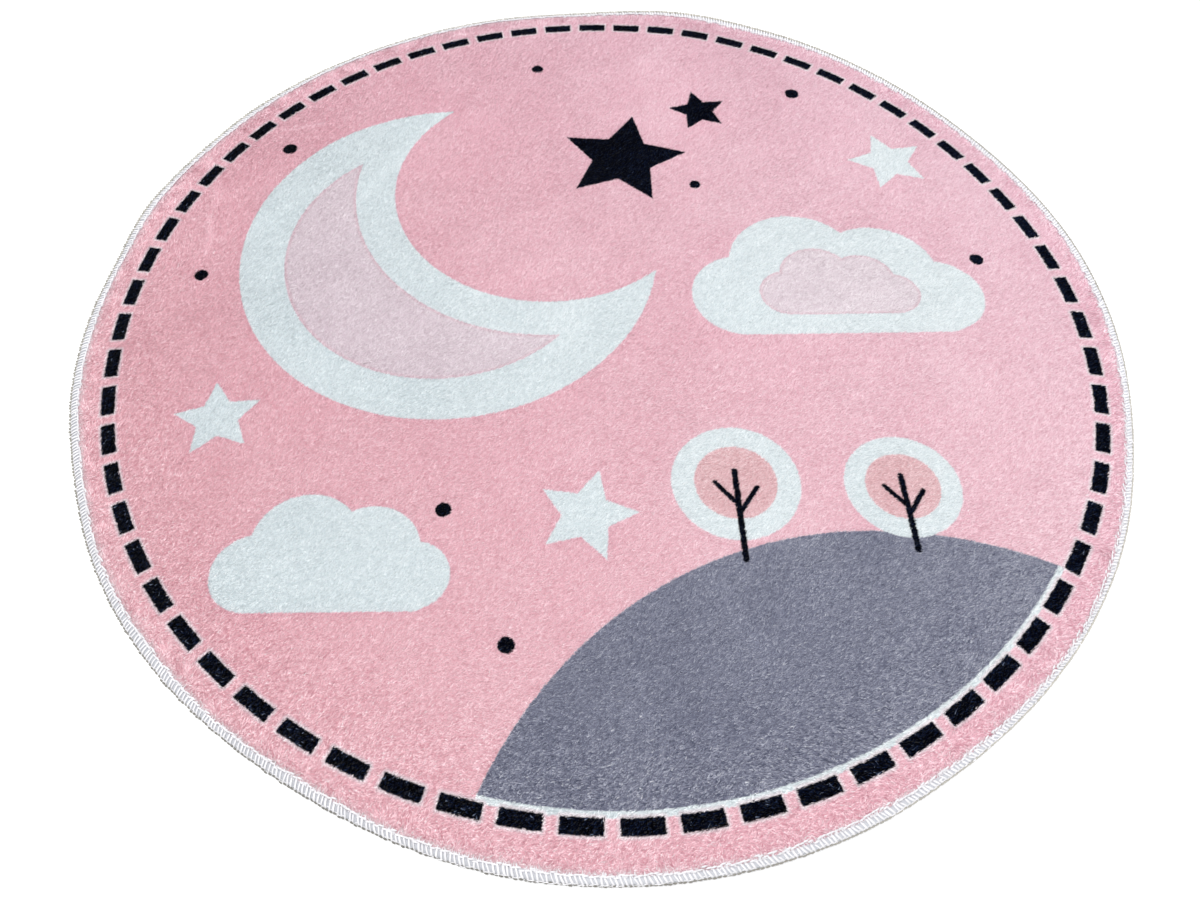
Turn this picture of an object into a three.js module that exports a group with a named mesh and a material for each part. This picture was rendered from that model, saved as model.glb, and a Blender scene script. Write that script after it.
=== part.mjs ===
// Round nursery rug: one disc of cut-pile cloth, its rim pressed flat and wrapped
// in a run of overlock thread. Millimetres, +Z up. The origin is on the floor,
// under the middle of the rug's box.
import * as THREE from 'three';
import { mergeVertices } from 'three/addons/utils/BufferGeometryUtils.js';

// Driving dimensions
const RUG_RADIUS = 500; // nominal, out to the thread edge
const CLOTH_HEIGHT = 6; // from the floor to the tips of the pile
const HEM_THICKNESS = 1.6; // rim of the cloth, pressed flat under the stitches
const THREAD = 0.8; // layer of thread over and under the rim
const THREAD_ROUND_EDGE = 1.1; // and round its outer edge
const STITCH_REACH = 8.5; // how far in the stitches reach on top of the rim
const STITCH_REACH_UNDER = 7.5; // and below it
const CLEARANCE = 0.3; // between thread and cloth
const SHOULDER = 12; // width over which the pile rises beside the stitches
const UNDERSIDE_DROP = 7; // width over which the underside comes down to the floor
const SECTORS = 96; // steps round the rug

// Rings of the cloth between the middle and the rim, as parts of RUG_RADIUS
const CLOTH_RINGS = [0.1, 0.2, 0.3, 0.4, 0.5, 0.6, 0.7, 0.79, 0.87, 0.93];

// How far the edge stands out from the nominal circle, going round from +X to +Y
const OUTLINE = [
  { azimuth: -180, out: -0.7 },
  { azimuth: -170, out: 0.0 },
  { azimuth: -160, out: -2.4 },
  { azimuth: -150, out: -0.6 },
  { azimuth: -140, out: -0.3 },
  { azimuth: -120, out: -2.2 },
  { azimuth: -100, out: 4.1 },
  { azimuth: -85, out: 4.2 },
  { azimuth: -71, out: 1.5 },
  { azimuth: -60, out: -2.6 },
  { azimuth: -40, out: -3.2 },
  { azimuth: -30, out: -3.9 },
  { azimuth: -20, out: -7.1 },
  { azimuth: 0, out: -3.0 },
  { azimuth: 12, out: -1.8 },
  { azimuth: 30, out: -4.8 },
  { azimuth: 45, out: -1.2 },
  { azimuth: 60, out: 3.7 },
  { azimuth: 70, out: 3.9 },
  { azimuth: 80, out: 3.0 },
  { azimuth: 91, out: -5.6 },
  { azimuth: 105, out: -3.2 },
  { azimuth: 120, out: -1.1 },
  { azimuth: 140, out: 2.8 },
  { azimuth: 150, out: 1.6 },
  { azimuth: 160, out: 3.0 },
  { azimuth: 170, out: -2.4 },
];

// Low places where the cloth stands a little off the floor: middle, reach and rise
const LIFTS = [
  { azimuth: 74, radius: 505, reach: 95, rise: 2.2 },
  { azimuth: 164, radius: 505, reach: 70, rise: 1.6 },
  { azimuth: -22, radius: 500, reach: 80, rise: 1.4 },
  { azimuth: -128, radius: 500, reach: 90, rise: 1.1 },
  { azimuth: 32, radius: 285, reach: 90, rise: 1.2 },
  { azimuth: 139, radius: 360, reach: 80, rise: 1.0 },
  { azimuth: -58, radius: 330, reach: 85, rise: 0.9 },
];

// The rim curls up a little on one side
const CURL_AZIMUTH = 40; // where it stands highest
const CURL_RISE = 2.2;
const CURL_REACH = 14; // how far in it starts

const FULL_TURN = 360;

// A value of a table that goes once round, by a smooth curve through its rows.
function roundTable(rows, azimuth) {
  const count = rows.length;
  const turned = THREE.MathUtils.euclideanModulo(azimuth - rows[0].azimuth, FULL_TURN) + rows[0].azimuth;
  let i = count - 1;
  while (rows[i].azimuth > turned) i -= 1;
  const row = (k) => rows[(k + count) % count];
  const here = row(i).azimuth;
  const span = THREE.MathUtils.euclideanModulo(row(i + 1).azimuth - here, FULL_TURN);
  const slope = (k) => {
    const width = THREE.MathUtils.euclideanModulo(row(k + 1).azimuth - row(k - 1).azimuth, FULL_TURN);
    return (row(k + 1).out - row(k - 1).out) / width;
  };
  const t = (turned - here) / span;
  const t2 = t * t;
  const t3 = t2 * t;
  return (
    (2 * t3 - 3 * t2 + 1) * row(i).out +
    (t3 - 2 * t2 + t) * span * slope(i) +
    (3 * t2 - 2 * t3) * row(i + 1).out +
    (t3 - t2) * span * slope(i + 1)
  );
}

// How far the cloth stands off the floor at a point.
function liftAt(x, y) {
  let rise = 0;
  for (const lift of LIFTS) {
    const a = THREE.MathUtils.degToRad(lift.azimuth);
    const away = Math.hypot(x - lift.radius * Math.cos(a), y - lift.radius * Math.sin(a));
    if (away < lift.reach) rise += lift.rise * Math.cos((away / lift.reach) * (Math.PI / 2)) ** 2;
  }
  return rise;
}

// How far the rim curls up at a place on the nominal disc.
function curlAt(azimuth, radius) {
  const side = Math.cos(THREE.MathUtils.degToRad(azimuth - CURL_AZIMUTH) / 2) ** 4;
  return CURL_RISE * side * THREE.MathUtils.smoothstep(radius, RUG_RADIUS - CURL_REACH, RUG_RADIUS);
}

// Turns a closed profile of [radius, height] about Z, then gives it the rug's uneven
// outline, its low lifts and its curl.
function turnedPiece(profile) {
  const points = profile.map(([radius, height]) => new THREE.Vector2(radius, height));
  const turned = new THREE.LatheGeometry(points, SECTORS).rotateX(Math.PI / 2);
  turned.deleteAttribute('normal');
  turned.deleteAttribute('uv');
  const position = turned.getAttribute('position');
  for (let i = 0; i < position.count; i += 1) {
    const x = position.getX(i);
    const y = position.getY(i);
    const azimuth = THREE.MathUtils.radToDeg(Math.atan2(y, x));
    const stretch = 1 + roundTable(OUTLINE, azimuth) / RUG_RADIUS;
    const lift = liftAt(x * stretch, y * stretch) + curlAt(azimuth, Math.hypot(x, y));
    position.setXYZ(i, x * stretch, y * stretch, position.getZ(i) + lift);
  }
  const piece = withoutFlatFaces(mergeVertices(turned, 1e-3));
  piece.computeVertexNormals();
  return piece;
}

// Leaves out the faces that closed up where the profile meets the axis.
function withoutFlatFaces(geometry) {
  const kept = [];
  const index = geometry.getIndex();
  for (let i = 0; i < index.count; i += 3) {
    const corners = [index.getX(i), index.getX(i + 1), index.getX(i + 2)];
    if (new Set(corners).size === 3) kept.push(...corners);
  }
  return geometry.setIndex(kept);
}

// Heights of the layers at the rim
const hemBottom = THREAD + CLEARANCE;
const hemTop = hemBottom + HEM_THICKNESS;
const threadTop = hemTop + CLEARANCE + THREAD;

// The pile cloth: a flat underside, a thin rim and a soft shoulder of pile beside it.
function clothProfile() {
  const hemEdge = RUG_RADIUS - THREAD_ROUND_EDGE - CLEARANCE;
  const underStitches = RUG_RADIUS - STITCH_REACH_UNDER - CLEARANCE;
  const besideStitches = RUG_RADIUS - STITCH_REACH - CLEARANCE;
  const pileRise = CLOTH_HEIGHT - hemTop;
  const underside = CLOTH_RINGS.map((part) => [part * RUG_RADIUS, 0]);
  const top = CLOTH_RINGS.map((part) => [part * RUG_RADIUS, CLOTH_HEIGHT]).reverse();
  return [
    [0, 0],
    ...underside,
    [underStitches - UNDERSIDE_DROP, 0],
    [underStitches, hemBottom],
    [hemEdge, hemBottom],
    [hemEdge, hemTop],
    [besideStitches, hemTop],
    [besideStitches - 0.15 * SHOULDER, hemTop + 0.5 * pileRise],
    [besideStitches - 0.45 * SHOULDER, hemTop + 0.85 * pileRise],
    [besideStitches - SHOULDER, CLOTH_HEIGHT],
    ...top,
    [0, CLOTH_HEIGHT],
  ];
}

// The overlock thread: a thin sleeve over, round and under the rim of the cloth.
function threadProfile() {
  const outside = RUG_RADIUS;
  const inside = RUG_RADIUS - THREAD_ROUND_EDGE;
  const topReach = RUG_RADIUS - STITCH_REACH;
  const underReach = RUG_RADIUS - STITCH_REACH_UNDER;
  const corner = 0.7 * THREAD_ROUND_EDGE;
  const section = [
    [underReach, 0],
    [outside - corner, 0],
    [outside, corner],
    [outside, threadTop - corner],
    [outside - corner, threadTop],
    [topReach, threadTop],
    [topReach, threadTop - THREAD],
    [inside, threadTop - THREAD],
    [inside, THREAD],
    [underReach, THREAD],
  ];
  return [...section, section[0]];
}

const clothMaterial = new THREE.MeshStandardMaterial({
  name: 'pile_cloth',
  color: new THREE.Color().setRGB(0.925, 0.715, 0.765, THREE.SRGBColorSpace),
  roughness: 0.95,
  metalness: 0,
});

const threadMaterial = new THREE.MeshStandardMaterial({
  name: 'edge_thread',
  color: new THREE.Color().setRGB(0.94, 0.93, 0.945, THREE.SRGBColorSpace),
  roughness: 0.7,
  metalness: 0,
});

const cloth = new THREE.Mesh(turnedPiece(clothProfile()), clothMaterial);
cloth.name = 'pile_cloth';

const thread = new THREE.Mesh(turnedPiece(threadProfile()), threadMaterial);
thread.name = 'overlock_edge';

// The uneven outline's box is set round the origin.
const middle = new THREE.Box3().setFromObject(thread).getCenter(new THREE.Vector3());
for (const piece of [cloth, thread]) {
  piece.position.set(-middle.x, -middle.y, 0);
}

const rug = new THREE.Group();
rug.add(cloth, thread);

export default rug;
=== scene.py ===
# Round nursery rug: a disc of printed pile cloth that lies flat, with an overlocked edge.
# Metres, +Z up. The rug lies on the floor, with the middle of its box over the origin.
from math import atan2, ceil, cos, pi, radians, sin, sqrt

import bpy
import numpy as np
from mathutils import Matrix, Vector


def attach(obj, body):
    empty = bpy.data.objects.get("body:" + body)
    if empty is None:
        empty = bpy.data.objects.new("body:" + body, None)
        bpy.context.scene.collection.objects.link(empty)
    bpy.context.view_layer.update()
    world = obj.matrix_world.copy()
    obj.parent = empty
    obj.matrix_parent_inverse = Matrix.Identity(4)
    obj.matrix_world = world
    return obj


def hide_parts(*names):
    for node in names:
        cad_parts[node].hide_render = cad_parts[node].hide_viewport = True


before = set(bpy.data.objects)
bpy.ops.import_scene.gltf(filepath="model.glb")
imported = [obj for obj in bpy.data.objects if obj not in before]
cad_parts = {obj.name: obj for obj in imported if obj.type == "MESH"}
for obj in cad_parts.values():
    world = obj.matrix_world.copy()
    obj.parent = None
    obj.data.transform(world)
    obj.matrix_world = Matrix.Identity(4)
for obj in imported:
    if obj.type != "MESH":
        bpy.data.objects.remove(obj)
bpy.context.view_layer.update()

MM = 0.001

# -------- sizes of the cloth
RUG_RADIUS = 0.500  # nominal, out to the thread edge
SECTORS = 96  # steps round the rug in its CAD solids
HEM_BOTTOM = 1.1 * MM  # rim of the cloth, pressed flat inside the thread
HEM_TOP = 2.7 * MM
HEM_EDGE = 2.15 * MM  # from the outside of the thread to the cloth's cut edge
STITCH_REACH = 8.5 * MM  # how far in the stitches reach on top
STITCH_REACH_UNDER = 7.5 * MM  # and below
GROUND_TOP = 2.4 * MM  # where the pile leaves the ground cloth

# How far the edge stands out from the nominal circle, in millimetres, going round
# from +X to +Y
OUTLINE = (
    # azimuth, out
    (-180, -0.7), (-170, 0.0), (-160, -2.4), (-150, -0.6), (-140, -0.3), (-120, -2.2),
    (-100, 4.1), (-85, 4.2), (-71, 1.5), (-60, -2.6), (-40, -3.2), (-30, -3.9),
    (-20, -7.1), (0, -3.0), (12, -1.8), (30, -4.8), (45, -1.2), (60, 3.7),
    (70, 3.9), (80, 3.0), (91, -5.6), (105, -3.2), (120, -1.1), (140, 2.8),
    (150, 1.6), (160, 3.0), (170, -2.4),
)

# How far in the stitches reach on top, in millimetres, going round the same way
REACH = (
    # azimuth, reach
    (-180, 8.4), (-157, 7.9), (-147, 6.7), (-137, 8.5), (-127, 6.7), (-119, 8.0),
    (-110, 6.9), (-100, 8.0), (-90, 7.2), (-80, 6.6), (-69, 7.2), (-57, 5.9),
    (-42, 4.3), (-27, 6.0), (-12, 6.8), (0, 7.5), (12, 7.5), (32, 7.3),
    (45, 7.8), (55, 7.8), (63, 9.0), (72, 8.7), (82, 6.7), (92, 5.7),
    (107, 4.6), (122, 4.8), (132, 6.3), (143, 8.0), (152, 6.7), (163, 8.8),
    (172, 7.2),
)

# Low places where the cloth stands a little off the floor, in millimetres
LIFTS = (
    # azimuth, radius, reach, rise
    (74, 505, 95, 2.2),
    (164, 505, 70, 1.6),
    (-22, 500, 80, 1.4),
    (-128, 500, 90, 1.1),
    (32, 285, 90, 1.2),
    (139, 360, 80, 1.0),
    (-58, 330, 85, 0.9),
)

# The rim curls up a little on one side
CURL_AZIMUTH = 40  # where it stands highest
CURL_RISE = 2.2 * MM
CURL_REACH = 14 * MM  # how far in it starts

# Faint creases in the pile, as straight soft troughs, in millimetres from the middle
# of the print
CREASE_SWAY = 2.0 * MM  # how far a crease strays from its straight line
CREASE_SWAY_PITCH = 55 * MM
CREASES = (
    # x1, y1, x2, y2, half width, depth
    (118, 62, 322, 208, 4.0, 0.9),
    (170, -18, 432, 70, 4.5, 0.9),
    (-356, 282, -298, 293, 3.5, 0.8),
    (-413, 214, -404, 76, 5.0, 0.7),
    (-270, 128, -150, 330, 7.0, 0.6),
    (60, -250, 128, -372, 6.0, 0.6),
)

# -------- the pile
PILE_STRANDS = 4 * 182_000
STRAND_LENGTH = 3.5 * MM
STRAND_WIDTH = 0.92 * MM
NAP_AZIMUTH = radians(20)  # the way the pile lies
NAP_LEAN = radians(68)  # from upright
PRINT_SPAN = 1.04  # the floor that the print's own map covers
LEAST_INK = 0.62  # of the print's usual 1
MOST_INK = 1.8
BARE_INK = 0.4
WHITE_TIP_INK = 0.25

# What drifts over the pile: how much, how far across, seed
NAP_SWIRLS = ((radians(14), 0.11, 1), (radians(7), 0.030, 2), (radians(6), 0.006, 3))
LEAN_WAVES = ((radians(1), 0.035, 4), (radians(0.8), 0.007, 5))
INK_CLOUDS = ((0.03, 0.045, 8), (0.04, 0.15, 9), (0.02, 0.005, 10))

# How the ink, and the painted light and shade, change near the rim, in the parts that
# rim_shares gives
PILE_INK = (
    # part, change, azimuth where it is full, narrowness
    ("evened", 0.20, -75, 4),
    ("shoulder", 0.12, -75, 1),
    ("groove", -0.30, -160, 2),
    ("beside", -0.15, -168, 4),
)
# Painted light and shade on the pile near the rim: lighter or darker by side, darker beside
# the stitches on the near left
PILE_PAINTED_LIGHT = (
    ("evened", 0.065, 168, 4),
    ("evened", 0.04, -15, 8),
    ("groove", 0.12, 20, 2),
    ("beside", 0.01, 20, 2),
    ("beside", 0.05, 55, 8),
    ("beside", -0.04, 105, 8),
    ("groove", -0.08, -150, 1),
    ("beside", -0.10, -150, 1),
    ("groove", -0.10, -105, 2),
)

# -------- the overlock
STITCH_COUNT = 924
THREAD_SIDES = 5  # of a thread's section
LOWER_THREAD_SIDES = 4
LINK_HALF_LENGTH = 2.25 * MM
UNDERLAY_STEPS = 384  # round the rug
UNDERLAY_CELLS = 300  # repeats of the twist round the rug
FLUFF_COUNT = 5000

# How the thread changes round the rug: change, azimuth where it is full, narrowness. The
# painted light rows make the thread lighter or darker by side.
BAR_FULLNESS = ((-0.24, -130, 2), (-0.10, 50, 3), (0.10, -15, 5))
BAR_PAINTED_LIGHT = ((0.05, -5, 2), (0.08, 45, 4), (0.02, 150, 6))
LINK_STRAY = ((1.5, -45, 8), (-1.3, 35, 2))  # millimetres inwards
LOWER_SHIFT = ((-0.2, 152, 6), (0.35, 118, 16))  # the same way
LOWER_PAINTED_LIGHT = ((0.95, -40, 8), (-0.25, -95, 16), (0.10, 152, 6), (0.35, 50, 4))
UNDERLAY_TOP_PAINTED_LIGHT = ((0.18, -15, 5), (0.10, 150, 6), (0.10, 50, 6))

# -------- the print
DASH_COUNT = 67
DASH_RING = 465.5  # millimetres, as all sizes of the print
DASH_LENGTH = 32.3
DASH_WIDTH = 12.4
DASH_START = radians(2.97)  # azimuth of one dash's middle
DASH_ROUNDING = 1.0

# The cloth was stretched a little in sewing, so the print lies unevenly. Each row is a
# wave round the rug: how many times it repeats, its size, and the azimuth of its crest.
# The sizes are those on the ring of dashes.
PRINT_SHIFT_ALONG = (
    # repeats, size, crest
    (1, 0.6, -128), (2, 1.0, 22), (3, 1.4, 158), (5, 0.5, -49), (6, 1.3, 102),
)
PRINT_SHIFT_OUT = (
    # repeats, size, crest
    (2, 1.0, -118), (3, 0.7, -89), (4, 0.8, -73), (5, 0.8, -45),
)


def paint(red, green, blue):
    """A colour in Blender's linear numbers from its usual 0 to 255 ones."""
    def linear(value):
        value /= 255
        return value / 12.92 if value <= 0.04045 else ((value + 0.055) / 1.055) ** 2.4

    return (linear(red), linear(green), linear(blue), 1.0)


PINK = paint(238, 194, 203)
# The pink under a painted sheen
COOL_SHEEN_PINK = paint(236, 194, 208)
DEEP_PINK = paint(229, 176, 190)
WHITE = paint(228, 236, 239)
PALE_PINK = paint(231, 218, 225)
PALE_EDGE = paint(226, 196, 206)
PALE_HALO = paint(237, 225, 230)
BLUSH = paint(230, 190, 195)
GREY = paint(128, 131, 150)
BLACK = paint(0.6, 1.6, 9)
BACKING = paint(232, 229, 222)
# Each thread has its colour and the shade between its strands.
THREAD_WHITE = paint(250, 249, 252)
THREAD_WHITE_TWIST = paint(243, 242, 246)
# The underlay's grey is painted shade in the gaps between the bars
UNDERLAY_SHADE = paint(212, 213, 219)
UNDERLAY_TWIST_SHADE = paint(196, 198, 205)
# The lower thread's colour is partly the thread and partly painted shadow along the edge
LOWER_THREAD_AND_SHADOW = paint(185, 182, 174)
LOWER_THREAD_TWIST_AND_SHADOW = paint(153, 149, 139)


# -------- shape of the cloth
def round_table(table, azimuth):
    """A table's value at these azimuths, in metres, by a smooth curve through its rows."""
    at = np.degrees(np.asarray(azimuth, float))
    rows = np.array(table, float)
    count = len(rows)
    turned = (at - rows[0, 0]) % 360 + rows[0, 0]
    here = np.searchsorted(rows[:, 0], turned, side="right") - 1
    place = lambda k: rows[k % count, 0] + 360 * (k // count)
    value = lambda k: rows[k % count, 1]
    slope = lambda k: (value(k + 1) - value(k - 1)) / (place(k + 1) - place(k - 1))
    span = place(here + 1) - place(here)
    t = (turned - place(here)) / span
    t2, t3 = t * t, t * t * t
    curve = (
        (2 * t3 - 3 * t2 + 1) * value(here)
        + (t3 - 2 * t2 + t) * span * slope(here)
        + (3 * t2 - 2 * t3) * value(here + 1)
        + (t3 - t2) * span * slope(here + 1)
    )
    return curve * MM


def outline_at(azimuth):
    """How far the edge stands out."""
    return round_table(OUTLINE, azimuth)


def reach_at(azimuth):
    """How far in the stitches reach."""
    return round_table(REACH, azimuth)


def facing(azimuth, towards, narrow=1):
    """1 on the side of the rug at this azimuth in degrees, falling to 0 opposite."""
    return np.cos((azimuth - radians(towards)) / 2) ** (2 * narrow)


def peaks(azimuth, rows):
    """The sum of changes that are each full at one azimuth and fall off beside it."""
    return sum(size * facing(azimuth, towards, narrow) for size, towards, narrow in rows)


def box_middle():
    """Where the middle of the uneven outline's box lies from the print's middle."""
    azimuth = np.arange(SECTORS) * 2 * pi / SECTORS
    radius = RUG_RADIUS + outline_at(azimuth)
    x, y = radius * np.cos(azimuth), radius * np.sin(azimuth)
    return (x.max() + x.min()) / 2, (y.max() + y.min()) / 2


MIDDLE = box_middle()
PRINT_MIDDLE = (-MIDDLE[0], -MIDDLE[1])  # in the rug's frame


def lift_at(x, y):
    """How far the cloth stands off the floor. x and y are from the print's middle."""
    rise = np.zeros_like(x)
    for azimuth, radius, reach, height in LIFTS:
        a = radians(azimuth)
        away = np.hypot(x - radius * MM * cos(a), y - radius * MM * sin(a))
        share = np.clip(away / (reach * MM), 0, 1)
        rise += height * MM * np.cos(share * pi / 2) ** 2
    return rise


def smooth_step(value, low, high):
    """0 below low, 1 above high, and smooth between them."""
    t = np.clip((value - low) / (high - low), 0, 1)
    return t * t * (3 - 2 * t)


def curl_at(azimuth, inside):
    """How far the rim curls up."""
    side = facing(azimuth, CURL_AZIMUTH, 2)
    return CURL_RISE * side * smooth_step(-inside, -CURL_REACH, 0)


def round_the_rug(azimuth, inside, height):
    """Points in the rug's frame, this far inside the uneven edge and this high."""
    radius = RUG_RADIUS - inside
    radius = radius * (1 + outline_at(azimuth) / RUG_RADIUS)
    x, y = radius * np.cos(azimuth), radius * np.sin(azimuth)
    z = height + lift_at(x, y) + curl_at(azimuth, inside)
    return np.stack([x + PRINT_MIDDLE[0], y + PRINT_MIDDLE[1], z], -1)


def print_place(x, y):
    """The place on the print, in metres from its middle, that lies at this point of the
    rug."""
    azimuth, radius = np.arctan2(y, x), np.hypot(x, y)
    share = (radius / (DASH_RING * MM)) ** 2

    def waves(rows):
        return sum(size * np.cos(k * azimuth - radians(crest)) for k, size, crest in rows)

    turned = azimuth - share * waves(PRINT_SHIFT_ALONG) / DASH_RING
    moved = radius - share * waves(PRINT_SHIFT_OUT) * MM
    return np.stack([moved * np.cos(turned), moved * np.sin(turned)], -1)


def drift(x, y, size, seed, waves=20):
    """A smooth value over the floor, mostly from -1 to 1, with bumps about size across."""
    draw = np.random.default_rng(seed)
    total = np.zeros_like(x)
    for _ in range(waves):
        turn, phase = draw.uniform(0, 2 * pi, 2)
        pitch = pi / (size * draw.uniform(0.75, 1.35))
        total += np.sin((x * cos(turn) + y * sin(turn)) * pitch + phase)
    return total / sqrt(waves)


def drifts(x, y, rows):
    """The sum of several drifts."""
    return sum(size * drift(x, y, across, seed) for size, across, seed in rows)


def crease_at(x, y):
    """The depth of the creases, and how far they part the nap to their left or right."""
    depth = np.zeros_like(x)
    parting = np.zeros_like(x)
    for x1, y1, x2, y2, half, deep in CREASES:
        ax, ay, half = x1 * MM, y1 * MM, half * MM
        along = Vector((x2 - x1, y2 - y1)) * MM
        length = along.length
        along.normalize()
        run = (x - ax) * along.x + (y - ay) * along.y
        side = (y - ay) * along.x - (x - ax) * along.y
        side = side + CREASE_SWAY * np.sin(run * 2 * pi / CREASE_SWAY_PITCH)
        fade = smooth_step(run, 0, 0.2 * length) * smooth_step(-run, -length, -0.8 * length)
        share = np.exp(-((side / half) ** 2)) * fade
        depth += deep * MM * share
        parting += share * side / half
    return depth, parting


# -------- mesh helpers
def new_object(name, data):
    made = bpy.data.objects.new(name, data)
    bpy.context.scene.collection.objects.link(made)
    return made


def mesh_piece(name, points, *blocks, smooth=True):
    """A piece from its points and blocks of faces, each block an array of like rows."""
    mesh = bpy.data.meshes.new(name)
    mesh.vertices.add(len(points))
    mesh.vertices.foreach_set("co", np.asarray(points, np.float32).ravel())
    corners = np.concatenate([block.ravel() for block in blocks]).astype(np.int32)
    sides = np.concatenate([np.full(len(block), block.shape[1]) for block in blocks])
    starts = np.concatenate([[0], np.cumsum(sides)[:-1]])
    mesh.loops.add(len(corners))
    mesh.loops.foreach_set("vertex_index", corners)
    mesh.polygons.add(len(sides))
    mesh.polygons.foreach_set("loop_start", starts.astype(np.int32))
    mesh.polygons.foreach_set("use_smooth", np.full(len(sides), smooth))
    mesh.update(calc_edges=True)
    return new_object(name, mesh)


def add_map(piece, name, places):
    """A UV map from one place for each corner."""
    layer = piece.data.uv_layers.new(name=name)
    layer.uv.foreach_set("vector", np.asarray(places, np.float32).ravel())


def ring_faces(steps, round_steps, closed_section=False):
    """Quads between sections that go round the rug: row r of points is one section."""
    r = np.arange(round_steps)[:, None]
    s = np.arange(steps if closed_section else steps - 1)[None, :]
    next_r, next_s = (r + 1) % round_steps, (s + 1) % steps
    a = r * steps + s
    b = r * steps + next_s
    c = next_r * steps + next_s
    d = next_r * steps + s
    return np.stack([a, d, c, b], -1).reshape(-1, 4)


# -------- node helpers
class Sums:
    """Writes node maths as plain calls on one tree."""

    def __init__(self, tree):
        self.tree = tree

    def node(self, kind, values=(), output=0, **settings):
        """A new node's output. values are its inputs in order, or a dict of them by name
        or place."""
        made = self.tree.nodes.new(kind)
        for key, value in settings.items():
            setattr(made, key, value)
        self.fill(made, values if isinstance(values, dict) else dict(enumerate(values)))
        return made.outputs[output]

    def fill(self, made, values):
        """Links or sets a node's inputs."""
        for key, value in values.items():
            if isinstance(value, bpy.types.NodeSocket):
                self.tree.links.new(value, made.inputs[key])
            elif value is not None:
                made.inputs[key].default_value = value

    def parts(self, vector):
        """The x, y and z of a vector."""
        split = self.tree.nodes.new("ShaderNodeSeparateXYZ")
        self.fill(split, {0: vector})
        return split.outputs

    def sum(self, operation, *values, clamp=False):
        """One step of number maths."""
        return self.node("ShaderNodeMath", values, operation=operation, use_clamp=clamp)

    def vector(self, operation, *values):
        """One step of vector maths."""
        measures = ("LENGTH", "DISTANCE", "DOT_PRODUCT")
        output = 1 if operation in measures else 0
        return self.node("ShaderNodeVectorMath", values, output, operation=operation)

    def scaled(self, vector, by):
        values = {0: vector, "Scale": by}
        return self.node("ShaderNodeVectorMath", values, operation="SCALE")

    def spread(self, value, low, high, to_low, to_high):
        """A value moved from one range to another and kept inside it."""
        values = (value, low, high, to_low, to_high)
        return self.node("ShaderNodeMapRange", values)

    def mixed(self, share, first, second):
        """A colour that lies this share of the way from the first to the second."""
        values = {0: share, 6: first, 7: second}  # the sockets that mix colours
        return self.node("ShaderNodeMix", values, 2, data_type="RGBA")

    def bump(self, height, strength, distance):
        """The surface's normal over these heights."""
        values = {"Height": height, "Strength": strength, "Distance": distance}
        return self.node("ShaderNodeBump", values)

    def least(self, distances):
        """The least of these numbers."""
        nearest = distances[0]
        for distance in distances[1:]:
            nearest = self.sum("MINIMUM", nearest, distance)
        return nearest


def new_material(name):
    """A new material, its node maths and its shader."""
    material = bpy.data.materials.new(name)
    material.use_nodes = True
    tree = material.node_tree
    shader = next(n for n in tree.nodes if n.type == "BSDF_PRINCIPLED")
    return material, Sums(tree), shader


# -------- the print's shapes
# Each gives the distance to the shape's edge in millimetres, less than 0 inside it.
def disc(n, at, x, y, radius):
    return n.sum("SUBTRACT", n.vector("DISTANCE", at, (x, y, 0)), radius)


def stroke(n, at, x1, y1, x2, y2, width):
    """A line with round ends."""
    along = Vector((x2 - x1, y2 - y1, 0))
    start = n.vector("SUBTRACT", at, (x1, y1, 0))
    share = n.vector("DOT_PRODUCT", start, tuple(along / along.length_squared))
    share = n.sum("ADD", share, 0, clamp=True)
    nearest = n.scaled(tuple(along), share)
    return n.sum("SUBTRACT", n.vector("DISTANCE", start, nearest), width / 2)


def star(n, at, x, y, radius, turn):
    """A five-pointed star with slightly blunt points."""
    half = pi / 5
    waist, blunt = 0.48, 3.0  # share of the radius between points, and millimetres
    side = Vector((radius * waist * sin(half), radius * waist * cos(half) - radius))
    normal = Vector((-side.y, side.x)).normalized()
    lean = atan2(normal.x, normal.y)
    start = n.vector("SUBTRACT", at, (x, y, 0))
    start_x, start_y, _ = n.parts(start)
    angle = n.sum("ARCTAN2", start_x, start_y)
    angle = n.sum("WRAP", n.sum("ADD", angle, radians(turn)), half, -half)
    angle = n.sum("SUBTRACT", n.sum("ABSOLUTE", angle), lean)
    reach = n.vector("LENGTH", start)
    edge = -radius * normal.y - blunt
    return n.sum("MULTIPLY_ADD", reach, n.sum("COSINE", angle), edge)


CLOUD_PUFFS = (
    # x, y, radius for a cloud of size 1
    (-78, -8, 44),
    (-28, 26, 58),
    (42, 16, 52),
    (88, -12, 38),
)


def cloud(n, at, x, y, size):
    """Four round puffs on a flat base."""
    puffs = [disc(n, at, x + size * a, y + size * b, size * r) for a, b, r in CLOUD_PUFFS]
    base = (x - 78 * size, y - 30 * size, x + 88 * size, y - 30 * size, 44 * size)
    return n.least([*puffs, stroke(n, at, *base)])


def moon(n, at, x, y, radius, bite_x, bite_y, bite_radius):
    """A crescent: a disc with a round bite."""
    bite = n.sum("SUBTRACT", bite_radius, n.vector("DISTANCE", at, (bite_x, bite_y, 0)))
    return n.sum("MAXIMUM", disc(n, at, x, y, radius), bite)


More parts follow.
